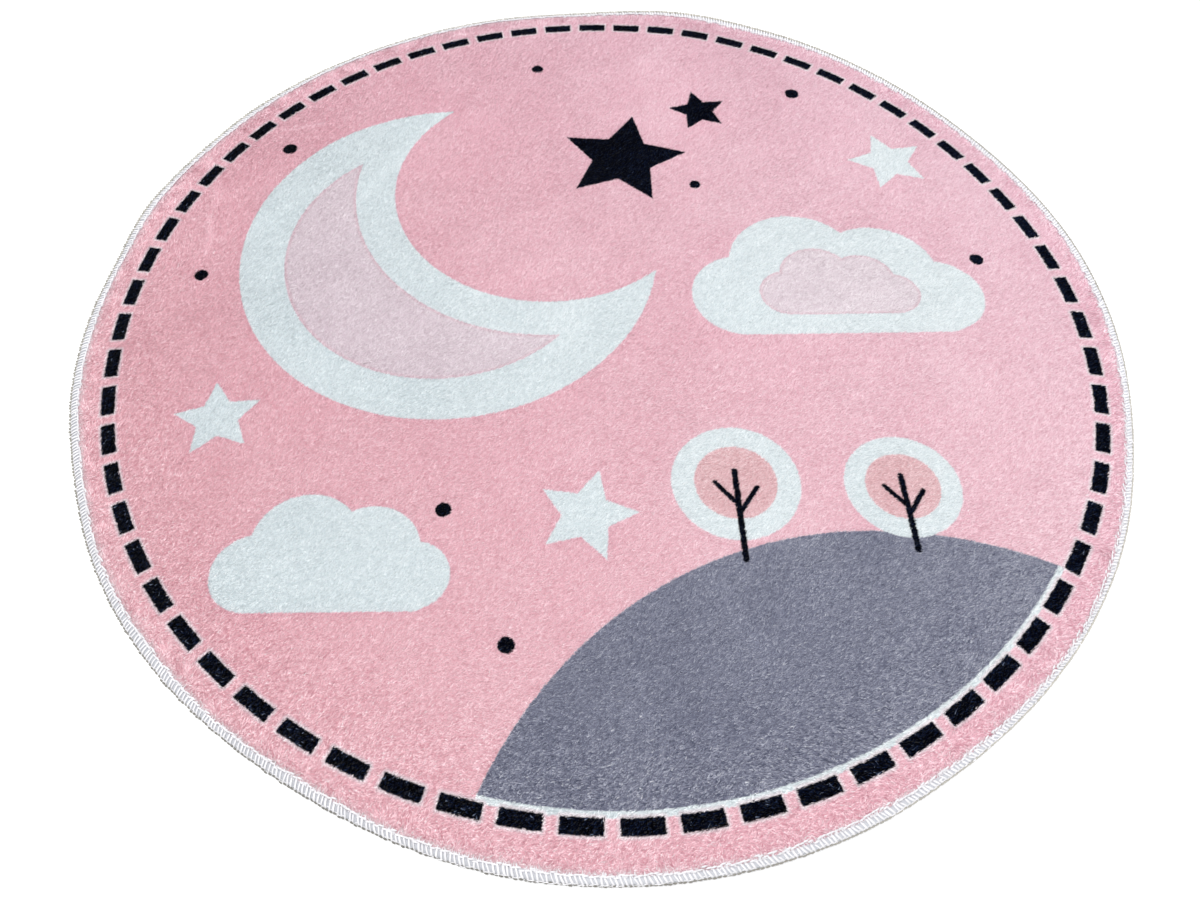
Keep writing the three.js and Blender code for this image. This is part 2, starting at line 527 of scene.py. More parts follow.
def dash_ring(n, at):
    """The distance to the ring of dashes, and to the middle of the print."""
    x, y, _ = n.parts(at)
    half_step = pi / DASH_COUNT
    angle = n.sum("ARCTAN2", y, x)
    angle = n.sum("SUBTRACT", angle, DASH_START)
    angle = n.sum("ABSOLUTE", n.sum("WRAP", angle, half_step, -half_step))
    reach = n.vector("LENGTH", at)
    core = DASH_LENGTH / 2 - DASH_ROUNDING
    past_end = n.sum("MULTIPLY_ADD", angle, DASH_RING, -core)
    across = n.sum("ABSOLUTE", n.sum("SUBTRACT", reach, DASH_RING))
    past_side = n.sum("SUBTRACT", across, DASH_WIDTH / 2 - DASH_ROUNDING)
    corner = n.node(
        "ShaderNodeCombineXYZ",
        (n.sum("MAXIMUM", past_end, 0.0), n.sum("MAXIMUM", past_side, 0.0), 0.0),
    )
    outside = n.vector("LENGTH", corner)
    inside = n.sum("MINIMUM", n.sum("MAXIMUM", past_end, past_side), 0.0)
    distance = n.sum("SUBTRACT", n.sum("ADD", outside, inside), DASH_ROUNDING)
    return distance, reach


MOON = (-150, 95, 214, -47, 184, 165)
MOON_INSET = (-155, 90, 163, -47, 184, 207)
BIG_CLOUD = (236, 34, 1.16)
BIG_CLOUD_INSET = (240, 31, 0.64)
SMALL_CLOUD = (-232, -262, 0.80)
HILL = (215, -590, 352)
HILL_EDGE = 454.8  # the hill stops at this radius, inside the dashes
HILL_LINE = 459.9  # and a white line runs on to this one
TREES = (
    # x, y of the foot, height of the trunk, radius of the crown
    (112, -262, 34, 56),
    (255, -256, 26, 50),
)
TRUNK_WIDTH = 5.5
BRANCH_WIDTH = 4.5
BLUSH_SHARE = 0.64  # of the crown's radius
CLOUD_GAP = 8.0  # plain pink left round the big cloud
DEEP_REACH = 7.0  # how far round the white shapes the pink is deeper
HALO = (3.2, 0.8)  # how far round the dashes the pale halo starts and is full
# Painted sheen: the pink turns cooler towards +X and +Y
SHEEN_SPAN = 450.0  # from where the pink is warmest or coolest to the middle
WHITE_STARS = ((330, 215, 38, 14), (-18, -218, 38, -16), (-352, -112, 34, 10))
BLACK_STARS = ((36, 226, 64, -12), (128, 304, 27, 10))
BLACK_DOTS = (
    # x, y, radius
    (-335, 250, 8),
    (-60, 385, 7),
    (240, 332, 8),
    (388, 66, 7),
    (-140, -212, 7),
    (-85, -332, 7),
    (-400, 62, 7),
    (112, 182, 6),
)


def print_colour(n, at):
    """The printed colour at a place given in millimetres from the print's middle, with a
    painted sheen that cools the pink towards +X and +Y.
    """
    def put(colour, distance, ink, soft=0.45):
        return n.mixed(n.spread(distance, soft, -soft, 0.0, 1.0), colour, ink)

    def put_pale(colour, distance):  # with a slightly deeper rim
        inner = n.mixed(n.spread(distance, -4.0, 0.0, 0.0, 0.8), PALE_PINK, PALE_EDGE)
        return put(colour, distance, inner)

    dashes, reach = dash_ring(n, at)
    white = n.least(
        [
            moon(n, at, *MOON),
            cloud(n, at, *SMALL_CLOUD),
            *[star(n, at, *row) for row in WHITE_STARS],
        ]
    )
    # Painted sheen: the pink turns cooler towards +X and +Y
    slant = n.vector("DOT_PRODUCT", at, (0.8, 0.6, 0.0))
    pink = n.mixed(n.spread(slant, -SHEEN_SPAN, SHEEN_SPAN, 0.0, 1.0), PINK, COOL_SHEEN_PINK)
    colour = n.mixed(n.spread(white, DEEP_REACH, 0.0, 0.0, 0.32), pink, DEEP_PINK)
    colour = put(colour, white, WHITE)
    colour = put_pale(colour, moon(n, at, *MOON_INSET))

    big_cloud = cloud(n, at, *BIG_CLOUD)
    colour = put(colour, n.sum("SUBTRACT", big_cloud, CLOUD_GAP), pink)
    colour = put(colour, big_cloud, WHITE)
    colour = put_pale(colour, cloud(n, at, *BIG_CLOUD_INSET))

    hill = disc(n, at, *HILL)
    for edge, ink in ((HILL_LINE, WHITE), (HILL_EDGE, GREY)):
        within = n.sum("MAXIMUM", hill, n.sum("SUBTRACT", reach, edge))
        colour = put(colour, within, ink)

    crowns, blushes, wood = [], [], []
    for x, y, height, crown in TREES:
        middle = y + height + 0.7 * crown
        fork = y + height + 0.3 * crown
        left, right = x - 0.32 * crown, x + 0.32 * crown
        crowns.append(disc(n, at, x, middle, crown))
        blushes.append(disc(n, at, x, middle, BLUSH_SHARE * crown))
        wood.append(stroke(n, at, x, y, x, middle + 0.2 * crown, TRUNK_WIDTH))
        wood.append(stroke(n, at, x, fork, left, fork + 0.4 * crown, BRANCH_WIDTH))
        wood.append(stroke(n, at, x, fork - 8, right, fork + 0.3 * crown, BRANCH_WIDTH))
    colour = put(colour, n.least(crowns), WHITE)
    colour = put(colour, n.least(blushes), BLUSH)

    halo = n.spread(dashes, *HALO, 0.0, 0.85)
    colour = n.mixed(halo, colour, PALE_HALO)
    black = n.least(
        [
            dashes,
            *wood,
            *[star(n, at, *row) for row in BLACK_STARS],
            *[disc(n, at, *row) for row in BLACK_DOTS],
        ]
    )
    return put(colour, black, BLACK)


def print_group():
    """The print as a group that the pile and the ground cloth share."""
    tree = bpy.data.node_groups.new("rug_print", "ShaderNodeTree")
    tree.interface.new_socket("Place", in_out="INPUT", socket_type="NodeSocketVector")
    tree.interface.new_socket("Colour", in_out="OUTPUT", socket_type="NodeSocketColor")
    n = Sums(tree)
    place = tree.nodes.new("NodeGroupInput").outputs[0]
    result = tree.nodes.new("NodeGroupOutput")
    n.fill(result, {0: print_colour(n, place)})
    return tree


def printed(n, group, place):
    """The print's colour at this place."""
    made = n.tree.nodes.new("ShaderNodeGroup")
    made.node_tree = group
    n.fill(made, {0: place})
    return made.outputs[0]


# -------- materials
def tone_of(n):
    """Half of how light each strand or thread is, as the piece's own map says: its own tone
    together with painted light and shade.
    """
    return n.parts(n.node("ShaderNodeUVMap", uv_map="tone"))[0]


def place_on_print(n, uv_map):
    """The place on the print, in millimetres from its middle, as a map says."""
    place = n.vector("SUBTRACT", n.node("ShaderNodeUVMap", uv_map=uv_map), (0.5, 0.5, 0.0))
    return n.scaled(place, PRINT_SPAN / MM)


def pile_material(group):
    """Printed cut pile: each strand takes more or less ink, and is lighter or darker,
    partly by painted light and shade.
    """
    material, n, shader = new_material("printed_pile")
    place = place_on_print(n, "OFBake")
    along, half_ink, _ = n.parts(n.node("ShaderNodeUVMap", uv_map="strand"))
    along = n.spread(along, 0.0, 0.6, 0.7, 1.0)
    noise = {"Vector": place, "Scale": 0.9, "Detail": 1.0}
    grain = n.node("ShaderNodeTexNoise", noise, "Fac")
    grain = n.spread(grain, 0.3, 0.7, 0.84, 1.16)
    ink = n.sum("MULTIPLY", half_ink, n.sum("MULTIPLY", along, 2.0))
    ink = n.sum("MULTIPLY", ink, grain)
    inked = n.node("ShaderNodeGamma", (printed(n, group, place), ink))
    colour = n.scaled(inked, n.sum("MULTIPLY", tone_of(n), 2.0))
    n.fill(shader, {"Base Color": colour, "Roughness": 0.75, "Specular IOR Level": 0.015})
    n.fill(shader, {"Sheen Weight": 0.006, "Sheen Roughness": 0.45})
    return material


def ground_material(group):
    """The ground cloth under the pile, in the print's colours, darkened as painted shade at
    the foot of the pile.
    """
    material, n, shader = new_material("printed_ground")
    colour = n.scaled(printed(n, group, place_on_print(n, "print")), 0.8)
    n.fill(shader, {"Base Color": colour, "Roughness": 0.9})
    return material


def backing_material():
    """Plain off-white backing cloth with a fine plain weave."""
    material, n, shader = new_material("plain_backing")
    place = n.node("ShaderNodeTexCoord", output=3)
    weave = []
    for turn in (0.0, pi / 2):
        turned = n.node("ShaderNodeMapping", (place, None, (0.0, 0.0, turn)))
        wave = {"Vector": turned, "Scale": 160.0, "Distortion": 1.2, "Detail Scale": 3.0}
        weave.append(n.node("ShaderNodeTexWave", wave, "Fac"))
    thread = n.sum("MAXIMUM", *weave)
    blotch = n.node("ShaderNodeTexNoise", {"Vector": place, "Scale": 14.0}, "Fac")
    tone = n.sum(
        "MULTIPLY",
        n.spread(thread, 0.0, 1.0, 0.82, 1.0),
        n.spread(blotch, 0.3, 0.7, 0.95, 1.02),
    )
    n.fill(shader, {"Base Color": n.scaled(BACKING[:3], tone), "Roughness": 0.9})
    n.fill(shader, {"Normal": n.bump(thread, 0.5, 0.4 * MM)})
    return material


def thread_material(name, colour, shade, cells):
    """Soft many-stranded thread, with its twist running round it and painted shade between
    its strands, lighter or darker by its tone, which carries painted light and shade. cells
    is how many cells the piece's map has each way."""
    material, n, shader = new_material(name)
    place = n.scaled(n.node("ShaderNodeUVMap", uv_map="OFBake"), cells)
    wave = {"Vector": place, "Scale": 2.2, "Distortion": 0.8}
    twist = n.node("ShaderNodeTexWave", wave, "Fac", bands_direction="DIAGONAL")
    twisted = n.mixed(twist, shade, colour)
    toned = n.scaled(twisted, n.sum("MULTIPLY", tone_of(n), 2.0))
    n.fill(shader, {"Base Color": toned, "Normal": n.bump(twist, 0.4, 0.2 * MM)})
    n.fill(shader, {"Roughness": 0.6, "Sheen Weight": 0.3, "Sheen Roughness": 0.4})
    return material


# -------- ground cloth
GROUND_ROUND = 288  # steps round the ground cloth


def ground_profile():
    """The ground cloth's section, as (inside the edge, height), from the middle of the
    underside round the rim to the middle of the top."""
    rings = (0.02, 0.06, 0.12, 0.2, 0.3, 0.4, 0.5, 0.58, 0.66, 0.74, 0.81, 0.87, 0.92, 0.95)
    underside = [(RUG_RADIUS * (1 - r), 0.0) for r in rings]
    rim = [
        (STITCH_REACH_UNDER + 7.3 * MM, 0.0),
        (STITCH_REACH_UNDER + 3.5 * MM, 0.45 * MM),
        (STITCH_REACH_UNDER + 0.3 * MM, HEM_BOTTOM),
        (HEM_EDGE, HEM_BOTTOM),
        (HEM_EDGE, HEM_TOP),
        (STITCH_REACH + 0.3 * MM, HEM_TOP),
        (STITCH_REACH + 3.0 * MM, HEM_TOP - 0.1 * MM),
        (STITCH_REACH + 7.0 * MM, GROUND_TOP),
    ]
    top = [(RUG_RADIUS * (1 - r), GROUND_TOP) for r in reversed(rings)]
    return underside + rim + top


def add_ground():
    """The ground cloth: a closed disc whose underside rests on the floor."""
    profile = np.array(ground_profile())
    azimuth = np.arange(GROUND_ROUND)[:, None] * 2 * pi / GROUND_ROUND
    azimuth = azimuth + np.zeros(len(profile))
    inside, height = profile[:, 0] + 0 * azimuth, profile[:, 1] + 0 * azimuth
    points = round_the_rug(azimuth, inside, height)
    depth, _ = crease_at(points[..., 0] - PRINT_MIDDLE[0], points[..., 1] - PRINT_MIDDLE[1])
    points[..., 2] -= 0.3 * depth * (points[..., 2] > GROUND_TOP - 0.1 * MM)
    steps = len(profile)
    middle_x, middle_y = PRINT_MIDDLE
    ends = np.array([(middle_x, middle_y, 0.0), (middle_x, middle_y, GROUND_TOP)])
    below, above = GROUND_ROUND * steps, GROUND_ROUND * steps + 1
    row = np.arange(GROUND_ROUND) * steps
    after = np.roll(row, -1)
    under_fan = np.stack([row, np.full_like(row, below), after], -1)
    over_fan = np.stack([row + steps - 1, after + steps - 1, np.full_like(row, above)], -1)
    quads = ring_faces(steps, GROUND_ROUND)
    points = np.concatenate([points.reshape(-1, 3), ends])
    piece = mesh_piece("ground_cloth", points, quads, under_fan, over_fan)
    flat_steps = int((profile[:, 1] == 0.0).sum())
    rim_under = flat_steps + 2  # the backing runs on below the rim, up to its cut edge
    slots = np.concatenate(
        [
            np.tile((np.arange(steps - 1) < rim_under).astype(np.int32), GROUND_ROUND),
            np.ones(GROUND_ROUND, np.int32),
            np.zeros(GROUND_ROUND, np.int32),
        ]
    )
    piece.data.polygons.foreach_set("material_index", slots)
    corners = np.zeros(len(piece.data.loops), np.int32)
    piece.data.loops.foreach_get("vertex_index", corners)
    flat = points[corners, :2] - PRINT_MIDDLE
    add_map(piece, "print", print_place(flat[:, 0], flat[:, 1]) / PRINT_SPAN + 0.5)
    return piece


# -------- pile
def strand_roots():
    """Where the strands leave the ground, from the print's middle, spread evenly."""
    draw = np.random.default_rng(11)
    reach = RUG_RADIUS + 12 * MM
    area = pi * (RUG_RADIUS - STITCH_REACH) ** 2
    step = sqrt(area / PILE_STRANDS * 2 / sqrt(3))
    columns = int(2 * reach / step) + 1
    rows = int(2 * reach / (step * sqrt(3) / 2)) + 1
    i, j = np.meshgrid(np.arange(columns), np.arange(rows))
    x = (i + 0.5 * (j % 2)) * step - reach
    y = j * step * sqrt(3) / 2 - reach
    x = x.ravel() + draw.uniform(-0.45, 0.45, x.size) * step
    y = y.ravel() + draw.uniform(-0.45, 0.45, y.size) * step
    azimuth = np.arctan2(y, x)
    inside = RUG_RADIUS - np.hypot(x, y) / (1 + outline_at(azimuth) / RUG_RADIUS)
    kept = inside > reach_at(azimuth) - 0.9 * MM
    return x[kept], y[kept], azimuth[kept], inside[kept]


def rim_shares(azimuth, inside):
    """How far each strand is from the stitches, and shares from 0 to 1 that say how much
    it belongs to each part of the pile near the rim."""
    past = inside - reach_at(azimuth)
    near_left = facing(azimuth, -130)
    groove = smooth_step(-past, -4.5 * MM, -0.5 * MM)
    beside = smooth_step(-past, -8 * MM, -1 * MM)
    return {
        "past": past,
        "near_left": near_left,
        "groove": groove,
        "beside": beside,
        "shoulder": beside * (1 - groove),
        "border": smooth_step(-inside, -30 * MM, -10 * MM),  # beyond the dashes
        "evened": smooth_step(-inside, -42 * MM, -24 * MM),
        "rough": smooth_step(-inside, -130 * MM, -20 * MM) * near_left,
    }


def rim_changes(azimuth, rim, rows):
    """The sum of changes that each belong to one part of the pile near the rim."""
    return sum(rim[part] * peaks(azimuth, [change]) for part, *change in rows)


def strand_corners(draw, x, y, azimuth, inside, rim):
    """The two corners of each strand's root, and its tip."""
    count = len(x)
    depth, parting = crease_at(x, y)
    past, border = rim["past"], rim["border"]
    nap = NAP_AZIMUTH + drifts(x, y, NAP_SWIRLS)
    nap += radians(50) * parting + radians(30) * draw.normal(size=count)
    nap += border * 0.3 * np.sin(2 * (azimuth - nap))
    ruffled = border * (0.3 + 0.7 * rim["near_left"])
    nap += ruffled * (1.3 * drift(x, y, 0.012, 12) + radians(30) * draw.normal(size=count))
    lean = NAP_LEAN + drifts(x, y, LEAN_WAVES)
    lean += radians(9) * draw.normal(size=count) - radians(2) * border
    lean += radians(4) * smooth_step(-past, -7.5 * MM, -0.5 * MM)
    lean = np.clip(lean, radians(20), radians(84))

    # No strand is longer than the room that it has before the stitches.
    length = STRAND_LENGTH * np.clip(1 + 0.12 * draw.normal(size=count), 0.6, 1.35)
    length *= 1 - 0.4 * rim["groove"]
    outwards = np.maximum(np.sin(lean) * np.cos(nap - azimuth), 0.05)
    room = past + draw.normal(0.0, 0.8, count) * MM
    length = np.minimum(length, np.maximum(room / outwards, 1.0 * MM))
    width = STRAND_WIDTH * draw.uniform(0.7, 1.3, count)

    root_z = GROUND_TOP + (HEM_TOP - GROUND_TOP) * smooth_step(-inside, -15 * MM, -9 * MM)
    root_z = root_z + lift_at(x, y) + curl_at(azimuth, inside) - 0.3 * depth
    twist = nap + pi / 2 + draw.normal(0, radians(18), count)
    tilt = draw.normal(0, 0.22, count)
    side = np.stack([np.cos(twist), np.sin(twist), tilt], -1) * (width / 2)[:, None]
    root = np.stack([x + PRINT_MIDDLE[0], y + PRINT_MIDDLE[1], root_z], -1)
    direction = np.stack(
        [np.sin(lean) * np.cos(nap), np.sin(lean) * np.sin(nap), np.cos(lean)], -1
    )
    tip = root + direction * length[:, None]
    tip[:, 2] -= 0.7 * depth
    points = np.stack([root - side, root + side, tip], 1)
    turned = np.cross(points[:, 1] - points[:, 0], points[:, 2] - points[:, 0])[:, 2] < 0
    points[turned] = points[turned][:, [1, 0, 2]]
    return points


def strand_places(draw, x, y, points):
    """Each corner's place on the print's map. The print was pressed on the lying pile, and
    its strands have moved a little since."""
    moved = np.stack([drift(x, y, 0.007, 6), drift(x, y, 0.007, 7)], -1) * 0.1 * MM
    moved += draw.normal(0, 0.38 * MM, (len(x), 2))
    flat = points[..., :2] - np.array(PRINT_MIDDLE)
    return (print_place(flat[..., 0], flat[..., 1]) + moved[:, None]) / PRINT_SPAN + 0.5


def strand_ink(draw, x, y, azimuth, rim, density):
    """How much ink each strand took, with less towards +X and +Y as painted light. Some
    beside the stitches are nearly bare.
    """
    border, evened, rough = rim["border"], rim["evened"], rim["rough"]
    vivid = 0.19 + 0.21 * rough + 0.28 * border * (1 - rim["near_left"])
    ink = 1 + vivid * density + drifts(x, y, INK_CLOUDS)
    # Painted light: less ink towards +X and +Y makes the pile lighter and paler on the
    # right and far side
    ink += (1 - evened) * (0.03 - 0.20 * x / RUG_RADIUS - 0.05 * y / RUG_RADIUS)
    ink += rim_changes(azimuth, rim, PILE_INK) - evened * 0.04 * x / RUG_RADIUS
    chance = (0.3 + 0.3 * facing(azimuth, -110)) * rim["groove"]
    chance += 0.15 * rim["beside"] * facing(azimuth, 10) + 0.002
    chance += 0.12 * border * np.clip(drift(x, y, 0.014, 13) + 0.1, 0, 1)
    bare = draw.uniform(size=len(x)) < chance
    ink = np.where(bare, BARE_INK, np.clip(ink, LEAST_INK, MOST_INK))
    return np.where(draw.uniform(size=len(x)) < 0.02 * rough**2, WHITE_TIP_INK, ink)


def strand_tone_and_painted_light(azimuth, rim, density):
    """How light each strand is: darker where it took more ink. Near the rim it also carries
    painted light and shade, lighter or darker by side, with painted shade beside the
    stitches on the near left.
    """
    border = rim["border"] * (1 - rim["near_left"])
    light = 1 - (0.045 + 0.06 * rim["rough"] + 0.03 * border) * density
    return light + rim_changes(azimuth, rim, PILE_PAINTED_LIGHT)


def add_pile(material):
    """All the pile, in four pieces, one for each quarter of the rug."""
    draw = np.random.default_rng(5)
    x, y, azimuth, inside = strand_roots()
    rim = rim_shares(azimuth, inside)
    points = strand_corners(draw, x, y, azimuth, inside, rim)
    places = strand_places(draw, x, y, points)
    density = draw.normal(size=len(x))
    strand = np.zeros((len(x), 3, 2))
    strand[:, 2, 0] = 1.0  # at the tip
    strand[..., 1] = strand_ink(draw, x, y, azimuth, rim, density)[:, None] / 2
    tone = np.zeros((len(x), 3, 2))
    tone[..., 0] = strand_tone_and_painted_light(azimuth, rim, density)[:, None] / 2

    pieces = []
    quarters = {
        "pile_far_right": (x >= 0) & (y >= 0),
        "pile_far_left": (x < 0) & (y >= 0),
        "pile_near_left": (x < 0) & (y < 0),
        "pile_near_right": (x >= 0) & (y < 0),
    }
    for name, kept in quarters.items():
        faces = np.arange(3 * kept.sum()).reshape(-1, 3)
        piece = mesh_piece(name, points[kept].reshape(-1, 3), faces, smooth=False)
        for map_name, values in (("OFBake", places), ("strand", strand), ("tone", tone)):
            add_map(piece, map_name, values[kept].reshape(-1, 2))
        piece.data.materials.append(material)
        pieces.append(piece)
    return pieces


# -------- overlocked edge
def tubes(name, paths, across, upright, half_across, half_up, sides, tone, first_turn=0.0):
    """Many like tubes as one mesh. paths is (tube, section, (inside, along, height)), with
    along in radians round the rug. across and upright are the section's two directions,
    in metres inside, along and up. sides is how many sides a section has, first_turn the
    angle of the first, and tone is how light each tube is at its sections."""
    count, sections, _ = paths.shape
    turn = first_turn + np.arange(sides) * 2 * pi / sides
    wide = half_across[..., None, None] * np.cos(turn)[:, None] * across[..., None, :]
    high = half_up[..., None, None] * np.sin(turn)[:, None] * upright[..., None, :]
    off = wide + high
    inside = paths[..., None, 0] + off[..., 0]
    azimuth = paths[..., None, 1] + off[..., 1] / RUG_RADIUS
    height = paths[..., None, 2] + off[..., 2]
    points = round_the_rug(azimuth, inside, height).reshape(-1, 3)

    tube = np.arange(count)[:, None, None] * sections * sides
    s = np.arange(sections - 1)[None, :, None]
    k = np.arange(sides)[None, None, :]
    a = tube + s * sides + k
    b = tube + s * sides + (k + 1) % sides
    quads = np.stack([a, b, b + sides, a + sides], -1).reshape(-1, 4)
    ring = np.arange(count)[:, None] * sections * sides + np.arange(sides)
    first = ring[:, ::-1]
    last = ring + (sections - 1) * sides
    piece = mesh_piece(name, points, quads, first, last)

    # Each tube is unrolled into its own cell of the piece's map.
    cells = ceil(sqrt(count))
    corner = np.stack([np.arange(count) % cells, np.arange(count) // cells], -1)
    u = np.stack([k, k + 1, k + 1, k], -1) / sides + 0 * a[..., None]
    v = np.stack([s, s, s + 1, s + 1], -1) / (sections - 1) + 0 * a[..., None]
    body = 0.05 + np.stack([0.9 * u, 0.8 * v], -1)
    turned = np.stack([np.cos(turn), np.sin(turn)], -1) * 0.05
    caps = [(0.25, 0.93) + turned[::-1], (0.75, 0.93) + turned]
    body = (body + corner[:, None, None, None]).reshape(-1, 2)
    caps = [(cap + corner[:, None]).reshape(-1, 2) for cap in caps]
    add_map(piece, "OFBake", np.concatenate([body, *caps]) / cells)
    tone = tone + np.zeros((count, sections))
    body = np.stack([tone[:, :-1], tone[:, :-1], tone[:, 1:], tone[:, 1:]], -1)
    body = np.repeat(body[:, :, None], sides, axis=2).ravel()
    corners = [body, np.repeat(tone[:, 0], sides), np.repeat(tone[:, -1], sides)]
    add_map(piece, "tone", np.concatenate(corners)[:, None] / 2 * [1, 0])
    return piece


def drawn_in(inside, height, reach):
    """The points of the upper side, moved so that they end at the stitches' reach."""
    bend = 2 * MM  # inside the edge, where the upper side begins
    share = np.clip((inside - bend) / (STITCH_REACH - bend), 0, None) * (height > 2.7 * MM)
    return inside + share * (reach - STITCH_REACH)


def normals_of(paths):
    """Unit normals of paths in the plane of inside and height, pointing outwards."""
    step = np.gradient(paths[..., [0, 2]], axis=-2)
    step /= np.linalg.norm(step, axis=-1, keepdims=True)
    return np.stack([step[..., 1], 0 * step[..., 0], -step[..., 0]], -1)


def link_frame(count, steps):
    """Where a link's sections are along it, from -1 to 1, its paths to be filled in, the
    two directions of its section, and how full it is there."""
    t = np.linspace(-1, 1, steps)
    link = np.zeros((count, steps, 3))
    out, up = np.zeros_like(link), np.zeros_like(link)
    out[..., 0] = -1
    up[..., 2] = 1
    belly = np.sqrt(np.clip(1.08 - t * t, 0.05, 1)) * np.ones((count, 1))
    return t, link, out, up, belly


def add_stitches(material):
    """The overlock stitches: slanting bars over and round the rim, and the two lines of
    links that hold them, on top and along the edge."""
    draw = np.random.default_rng(21)
    n = STITCH_COUNT
    azimuth = (np.arange(n) + draw.normal(0, 0.08, n)) * 2 * pi / n
    bar = np.array(
        [
            # inside the edge, along, height, half width
            (8.4, -1.5, 3.05, 0.6),
            (7.2, -1.15, 3.42, 0.95),
            (4.8, -0.35, 3.46, 1.0),
            (2.9, 0.4, 3.36, 1.05),
            (1.9, 0.85, 2.85, 1.15),
            (1.5, 1.0, 1.9, 1.1),
            (2.0, 0.6, 0.75, 1.1),
            (4.6, -0.3, 0.46, 1.0),
            (7.2, -0.9, 0.6, 0.6),
        ]
    ) * MM
    # Painted light and shade along each bar: lighter on top, darker round and under the rim
    painted_shade_along = np.array([1.04, 1.03, 1.0, 0.94, 0.90, 0.88, 0.88, 0.88, 0.88])  # tone along it
    paths = np.tile(bar[:, :3], (n, 1, 1))
    paths[..., 1] *= (1 + 0.3 * draw.normal(size=n))[:, None]
    paths[..., 1] = paths[..., 1] / RUG_RADIUS + azimuth[:, None]
    uneven = (0.35 + 0.5 * facing(azimuth, 20)) * draw.normal(size=n) * MM
    reach = reach_at(azimuth) + uneven
    paths[..., 0] = drawn_in(paths[..., 0], paths[..., 2], reach[:, None])
    along = np.zeros_like(paths)
    along[..., 1] = 1
    fullness = 1.14 + peaks(azimuth, BAR_FULLNESS) + 0.12 * draw.normal(size=n)
    half_wide = bar[:, 3] * fullness[:, None]
    thinning = np.array([0.7, 1, 1, 1, 1, 1, 1, 0.95, 0.6])  # towards the bar's ends
    half_high = 0.44 * MM * np.ones((n, 1)) * thinning
    # Painted light: the bars and the top links lighter on the right and far sides
    tone = 1 + peaks(azimuth, BAR_PAINTED_LIGHT) + 0.03 * np.clip(draw.normal(size=n), -2, 2)
    tone = tone[:, None]
    section = (along, normals_of(paths), half_wide, half_high)
    bars = tubes("stitch_bars", paths, *section, THREAD_SIDES, tone * painted_shade_along)

    links = []
    stray = peaks(azimuth, LINK_STRAY) * MM
    tight = facing(azimuth, 30, 3)[:, None]
    for name, inside, height, half_in, half_up in (
        ("stitch_links_top", reach + stray, 3.75, 0.75 - 0.3 * tight, 0.6 - 0.15 * tight),
        ("stitch_links_edge", 2.1 * MM, 2.6, 0.5, 0.5),
    ):
        t, link, out, up, belly = link_frame(n, 5)
        wander = 0.4 * draw.normal(size=n) + 0.5 * drift(azimuth, 0 * azimuth, 0.35, 22, 12)
        link[..., 0] = (inside + wander * MM)[:, None] + 0.25 * MM * t
        link[..., 1] = azimuth[:, None] + t * LINK_HALF_LENGTH / RUG_RADIUS
        link[..., 2] = height * MM + 0.1 * MM * draw.normal(size=n)[:, None] - 0.25 * MM * t
        section = (out, up, half_in * MM * belly, half_up * MM * belly)
        links.append(tubes(name, link, *section, THREAD_SIDES, tone))
    pieces = [bars, *links]
    for piece in pieces:
        piece.data.materials.append(material)
    return pieces


def add_lower_thread(material):
    """The darker lower thread, which runs along the edge; its dark colour is partly the
    thread and partly painted shadow along the edge. On the far side it's pulled up over the
    edge and shows as a wider line, partly painted shadow along the far edge."""
    draw = np.random.default_rng(31)
    n = STITCH_COUNT
    azimuth = (np.arange(n) + 0.8 + draw.normal(0, 0.08, n)) * 2 * pi / n
    broken = facing(azimuth, -130, 4)
    pulled = facing(azimuth, 115, 2)
    half_length = (1.9 - 0.5 * broken - 0.35 * pulled) * MM
    t, link, out, up, belly = link_frame(n, 4)
    half_in = np.minimum(0.8 + 1.7 * pulled, 0.32 * reach_at(azimuth) / MM)
    half_up = 0.8 + 0.2 * pulled
    inside = 0.2 + half_in - 0.4 * pulled + peaks(azimuth, LOWER_SHIFT)
    inside += (0.1 + 0.2 * broken + 0.1 * pulled) * draw.normal(size=n)
    link[..., 0] = inside[:, None] * MM
    link[..., 1] = azimuth[:, None] + t * half_length[:, None] / RUG_RADIUS
    link[..., 2] = (2.4 + 1.1 * facing(azimuth, 110))[:, None] * MM
    section = (out, up, half_in[:, None] * MM * belly, half_up[:, None] * MM * belly)
    # Painted light and shade: darkest along the near side, lighter at the near right and
    # where it is pulled up on the far side
    tone = 0.62 + peaks(azimuth, LOWER_PAINTED_LIGHT)
    tone += 0.56 * pulled * np.clip(1 + 0.3 * draw.normal(size=n), 0.4, 1.6)
    tone = tone[:, None]
    piece = tubes("lower_thread_and_shadow", link, *section, LOWER_THREAD_SIDES, tone, pi / 4)
    piece.data.materials.append(material)
    return piece


